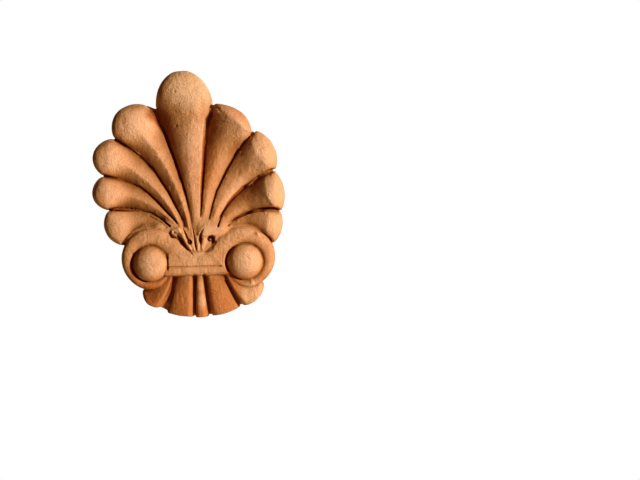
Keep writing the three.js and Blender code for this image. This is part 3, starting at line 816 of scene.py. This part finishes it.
faintLines = [  # x, y, width, depth below the surface
    [(-61, -37.5, 1.8, 1.5), (-55, -31, 1.5, 1), (-47, -28, 1.3, 0.7), (-39, -27, 1.2, 0.6),
     (-31, -28, 1.1, 0.4)],
    [(61, -39, 1.8, 1.6), (55, -34, 1.6, 1.4), (47, -29.5, 1.5, 1.2), (40, -28, 1.4, 1), (33, -28, 1.2, 0.7)],
    [(-24.5, -58.3, 1.5, 1.6), (18.5, -58.3, 1.4, 1.2)],
    [(-39, -16.5, 1.2, 0.7), (-31, -21, 1.3, 1), (-24, -26, 1.2, 0.8)],
    [(14, -39, 3.5, 1), (10.5, -43.5, 5, 1.2), (6, -47.5, 4, 0.7), (2, -49.5, 3, 0.3)],
    [(36, -49, 0.5, 0.5), (39, -50.5, 0.6, 0.6), (42, -53.7, 0.4, 0.4)],
    [(-11, -15, 2, 0.5), (-11, -20, 5, 2), (-10.5, -25, 4, 1.4)],
    [(-5.2, -25, 1, -0.3), (-3.6, -32, 1.2, -0.5), (-3, -39, 1, -0.4)],
]
dabs = [  # x, y, radius, height: crumbs and burrs stand up, pits and chips go in
    (-15, 83, 0.8, -1), (-15, 56, 1.3, -0.9), (-47, -28.5, 0.9, 0.6), (-40, -27.2, 0.9, 0.5),
    (16.5, 66.5, 1.1, 1.2), (18, 68, 1, 1), (19, 66, 0.8, 0.9), (4, 3, 0.8, 0.9), (25, -8, 0.8, 0.9),
    (49, -33, 1.3, 1.3), (48, -32, 0.9, 0.8), (42.5, -69.5, 1.2, 0.8), (43, -72, 1.5, 0.9),
    (-52, -47, 1.3, -1.6), (10.5, -36.7, 0.9, 5), (-6.2, -38.2, 0.8, 3.5),
]


def pointsOf(piece):
    points = np.empty(len(piece.data.vertices) * 3)
    piece.data.vertices.foreach_get("co", points)
    return points.reshape(-1, 3)


def besideLine(points, line):
    # How far each point is from a line, and the line's two other values at the nearest place
    away = np.full(len(points), np.inf)
    values = np.zeros((len(points), 2))
    for start, end in zip(np.array(line, float), np.array(line[1:], float)):
        run = end[:2] - start[:2]
        share = np.clip((points[:, :2] - start[:2]) @ run / (run @ run), 0, 1)
        gap = np.hypot(*(points[:, :2] - start[:2] - share[:, None] * run).T)
        near = gap < away
        away[near] = gap[near]
        values[near] = (start[2:4] + share[:, None] * (end[2:4] - start[2:4]))[near]
    return away, values


def carve(points, line, steep):
    # A groove down to its own floor, with steep walls
    away, values = besideLine(points, line)
    limit = values[:, 1] + np.maximum(0, away - values[:, 0] / 2) * steep
    front = points[:, 2] > handwork["toolAbove"]
    points[front, 2] = np.minimum(points[front, 2], limit[front])


def scratch(points, line):
    # A shallow line with soft shoulders
    away, values = besideLine(points, line)
    inside = np.clip(1 - (away / (values[:, 0] / 2 + 0.3)) ** 2, 0, 1)
    points[:, 2] -= np.where(points[:, 2] > handwork["toolAbove"], values[:, 1] * inside ** 1.5, 0)


points = pointsOf(antefix)
depths, covered, *cells = heightPicture(points)
smooth = lookUp(levelAround(depths, covered, thumbed["reach"])[0], *cells)
for x, y, radius in thumbed["places"]:
    away = np.hypot(points[:, 0] - x, points[:, 1] - y)
    rubbed = np.where(points[:, 2] > handwork["rubAbove"], np.exp(-(away / radius) ** 4), 0)
    points[:, 2] += rubbed * (smooth - points[:, 2])
# The hand-made surface is never quite even
chance = np.random.default_rng(handwork["seed"])
for reach, height in handwork["swells"]:
    swell = blurred(chance.standard_normal(depths.shape), reach / grid["cell"])
    swelling = height / swell.std() * lookUp(swell, *cells)
    points[:, 2] += np.where(points[:, 2] > handwork["swellAbove"], swelling, 0)
for line in grooves:
    carve(points, line, handwork["grooveSteepness"])
for line in slots:
    carve(points, line, handwork["slotSteepness"])
for line in faintLines:
    scratch(points, line)
for number in range(handwork["crumbs"]):  # crumbs of clay the tool left beside the grooves
    line = grooves[chance.integers(len(grooves))]
    place = chance.integers(len(line) - 1)
    share = chance.random()
    crumb = [mixed(line[place][i], line[place + 1][i], share) + chance.normal() * handwork["crumbReach"]
             for i in (0, 1)]
    dabs.append((*crumb, chance.uniform(*handwork["crumbRadius"]), chance.uniform(*handwork["crumbHeight"])))
for x, y, radius, height in dabs:
    away = np.hypot(points[:, 0] - x, points[:, 1] - y)
    dab = height * np.exp(-(away / radius) ** 2)
    points[:, 2] += np.where(points[:, 2] > handwork["toolAbove"], dab, 0)
antefix.data.vertices.foreach_set("co", points.ravel())
antefix.data.update()
print("lines tooled")

thin = antefix.modifiers.new("thin", "DECIMATE")
triangles = sum(len(face.vertices) - 2 for face in antefix.data.polygons)
thin.ratio = min(1, pressing["faces"] / triangles)
bpy.ops.object.modifier_apply(modifier="thin")
print("thinned from", triangles, "to", len(antefix.data.polygons), "faces")


# Dirt and painted shade go where a point lies lower than the clay around it, and dust and painted highlight
# where it stands higher
hollowness = {
    "reaches": {"hollowFine": 1.3, "hollowSmall": 3, "hollowWide": 9.5},
    "rim": 3, "rimShares": (0.8, 0.95), "backShare": (1.5, 6.5),
}
points = pointsOf(antefix)
depths, covered, *cells = heightPicture(points)
rimStart, rimEnd = hollowness["rimShares"]
backStart, backEnd = hollowness["backShare"]
inside = (lookUp(levelAround(depths, covered, hollowness["rim"])[1], *cells) - rimStart) / (rimEnd - rimStart)
for name, reach in hollowness["reaches"].items():
    level, share = levelAround(depths, covered, reach)
    hollow = (lookUp(level, *cells) - points[:, 2]) * np.clip(2 * lookUp(share, *cells) - 0.9, 0, 1)
    hollow *= np.clip((points[:, 2] - backStart) / (backEnd - backStart), 0, 1)  # none at the back
    hollow = np.where(hollow > 0, hollow * np.clip(inside, 0, 1), hollow)  # nor on the outer walls
    layer = antefix.data.attributes.new(name, "FLOAT", "POINT")
    layer.data.foreach_set("value", hollow.astype(np.float32))
print("hollows measured")

antefix.rotation_euler = (math.radians(90), 0, 0)
antefix.scale = (mm, mm, mm)
bpy.ops.object.transform_apply(location=True, rotation=True, scale=True)
bpy.ops.object.shade_smooth_by_angle(angle=math.radians(55))


fired = {
    "clay": (0.52, 0.235, 0.098), "paleClay": (0.60, 0.305, 0.15), "redClay": (0.47, 0.16, 0.052),
    # the dust tan first on the next line is dust and also painted highlight
    # the soil and groove browns on the next line, and the foot groove brown after them, are dirt and also
    # painted shade
    "dustAndHighlight": (0.68, 0.405, 0.235), "soilAndShade": (0.2, 0.062, 0.011), "groove": (0.26, 0.05, 0.012),
    "footGroove": (0.36, 0.055, 0.012), "speck": (0.12, 0.04, 0.015), "fleck": (0.78, 0.55, 0.36),
    # the dark brown first on the next line is painted shade
    # the pale tan last on the next line is pale wear and also painted highlight
    "paintedShade": (0.34, 0.085, 0.016), "paleWearAndHighlight": (0.72, 0.42, 0.22),
    "patchesY": -20,
    "patches": {  # where a colour lies: x, z, core, reach, share
        "redClay": [(-1, 16, 6, 32, 0.65), (34, 62, 6, 18, 0.2)],
        "paintedShade": [  # painted shade: the shadowed crescents beside the balls, the shaded outer foot leaf, the crown petal's shaded flank and the groove in its shadow
            (26, -64, 4, 11, 0.85), (-50, -60, 4, 11, 0.85), (-41, -80, 6, 13, 0.6), (-20, 47, 3, 13, 0.5),
            (-32.5, 65, 4, 9, 0.85),
        ],
        "paleWearAndHighlight": [  # the balls and the tips, rubbed pale, and painted highlight on the lit balls, the crown's top and the lit foot leaves
            (-36.5, -54, 7, 15, 0.7), (39.5, -54, 7, 15, 0.8), (-2, 91, 11, 28, 0.9),
            (-66, -27, 5, 17, 0.35), (-2, -51, 6, 20, 0.35), (59, 36, 6, 18, 0.5), (67, 2, 6, 18, 0.45),
            (63, -27, 5, 15, 0.45), (-73, 34, 4, 16, 0.2), (45, -81, 6, 16, 0.75), (0.6, -74, 2, 7, 0.45),
            (1.2, -86, 3, 9, 0.55), (8, -30, 5, 15, 0.45),
        ],
    },
    "shares": {  # how strongly each colour shows where it lies
        "redFoot": 0.8, "dustAndHighlight": 0.55, "soilAndShade": 0.8, "line": 0.7, "groove": 0.85, "sweep": 0.35,
        "speck": 0.55, "fleck": 0.45,
    },
    "patterns": {  # the size of each
        "blotch": 26, "cloud": 5, "grain": 1.3, "sweep": 22, "speck": 0.6, "fleck": 0.8, "pores": 0.45,
        "wipe": 1.6, "pimples": 2.6, "drag": 7,
    },
    "bumps": {  # how far each pattern stands up, as shares of the bump height
        "grain": 0.5, "cloud": 0.9, "pimples": 0.9, "wipe": 0.4, "pores": -0.4, "drag": 1.6,
    },
    "bumpHeight": 0.85, "roughness": 0.86, "dustRoughness": 0.08, "soilRoughness": -0.05, "shine": 0.25,
}
shares, patterns, bumps = fired["shares"], fired["patterns"], fired["bumps"]

clayShader = Shader("firedTerracotta")
at = clayShader.place()
up = clayShader.node("ShaderNodeSeparateXYZ", None, {"Vector": at}, out=2)
inward = clayShader.node("ShaderNodeSeparateXYZ", None, {"Vector": at}, out=1)
rear = inward.between(-1.2, -0.4)  # the back, dragged flat with a straight edge
fine, small, wide = (clayShader.attribute(name) for name in hollowness["reaches"])
blotch = clayShader.noise(at, patterns["blotch"], detail=4, rough=0.6)
cloud = clayShader.noise(at, patterns["cloud"], detail=5, rough=0.65)
grain = clayShader.noise(at, patterns["grain"], detail=5, rough=0.7)
ragged = (cloud - 0.5) * 3.5 + (grain - 0.5) * 3  # makes the edges of stains, dust, painted shade and painted highlight uneven

colour = clayShader.mix((blotch * 0.5 + cloud * 0.5 + (grain - 0.5) * 0.9).between(0.36, 0.64),
                        fired["clay"], fired["paleClay"])
footward = ((blotch - 0.5) * 24 - up).between(57, 74)  # the foot is redder than the palmette
colour = clayShader.mix(footward * (1 - rear * 0.75) * shares["redFoot"], colour, fired["redClay"])
# each patch lays a colour: the clay's own redder tone, painted shade, or pale wear with painted highlight
for patchColour, spots in fired["patches"].items():
    for x, z, core, reach, share in spots:
        gap = clayShader.node("ShaderNodeVectorMath", {"operation": "DISTANCE"},
                              {0: at, 1: (x, fired["patchesY"], z)}, out=1)
        colour = clayShader.mix((1 - (gap + ragged).between(core, reach)) * share, colour, fired[patchColour])
# dust on raised clay and higher up, which also paints the paleness of the lit highlights
proud = ((0 - wide) + ragged + up * 0.012).between(0.2, 4.6)
colour = clayShader.mix(proud * (1 - rear) * shares["dustAndHighlight"], colour, fired["dustAndHighlight"])
# in the wide hollows and on low flanks: dirt, and painted shade where the lamp leaves them dark
settledDirtAndShade = (wide + ragged).between(-1.4, 4.4)
colour = clayShader.mix(settledDirtAndShade * shares["soilAndShade"], colour, fired["soilAndShade"])
# along the smaller hollows near the grooves: dirt and painted shade
lined = (small + ragged * 0.4).between(0.5, 3.2)
colour = clayShader.mix(lined * shares["line"], colour, fired["soilAndShade"])
# in the grooves themselves: dirt and painted shade
cut = (fine + (grain - 0.5) * 0.8).between(1.2, 3.2)
grooveColour = clayShader.mix(footward, fired["groove"], fired["footGroove"])
colour = clayShader.mix(cut * shares["groove"], colour, grooveColour)
sweep = clayShader.noise(clayShader.place(stretch=(0.5, 1, 0.8), turn=24), patterns["sweep"],
                         detail=4, rough=0.6, distort=0.5)
colour = clayShader.mix(sweep.between(0.35, 0.7) * rear * shares["sweep"], colour, fired["paleClay"])
speck = clayShader.noise(at, patterns["speck"], detail=2).between(0.66, 0.76)
colour = clayShader.mix(speck * shares["speck"], colour, fired["speck"])
fleckAt = clayShader.place(offset=(31, 7, 13))  # a pattern of their own, apart from the specks
fleck = clayShader.noise(fleckAt, patterns["fleck"], detail=2).between(0.68, 0.78)
colour = clayShader.mix(fleck * shares["fleck"], colour, fired["fleck"])
clayShader.feed("Base Color", colour)
clayShader.feed("Roughness", fired["roughness"] + proud * fired["dustRoughness"]
                + settledDirtAndShade * fired["soilRoughness"])
clayShader.surface.inputs["Specular IOR Level"].default_value = fired["shine"]

pores = clayShader.noise(at, patterns["pores"], detail=3).between(0.6, 0.75)
wipe = clayShader.noise(clayShader.place(stretch=(1, 1, 0.22)), patterns["wipe"], detail=3, distort=0.4)
pimples = clayShader.noise(at, patterns["pimples"], detail=4, rough=0.7)
drag = clayShader.noise(clayShader.place(stretch=(0.25, 1, 0.6), turn=24), patterns["drag"],
                        detail=3, rough=0.5, distort=0.8)
relief = (grain * bumps["grain"] + cloud * bumps["cloud"] + pimples * bumps["pimples"] + wipe * bumps["wipe"]
          + pores * bumps["pores"] + drag * rear * bumps["drag"])
clayShader.feed("Normal", clayShader.node("ShaderNodeBump", None, {
    "Height": relief, "Distance": fired["bumpHeight"] * mm, "Strength": 1}))
antefix.data.materials.clear()
antefix.data.materials.append(clayShader.material)

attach(antefix, "root")
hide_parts("palmette_antefix")
print("clay fired")
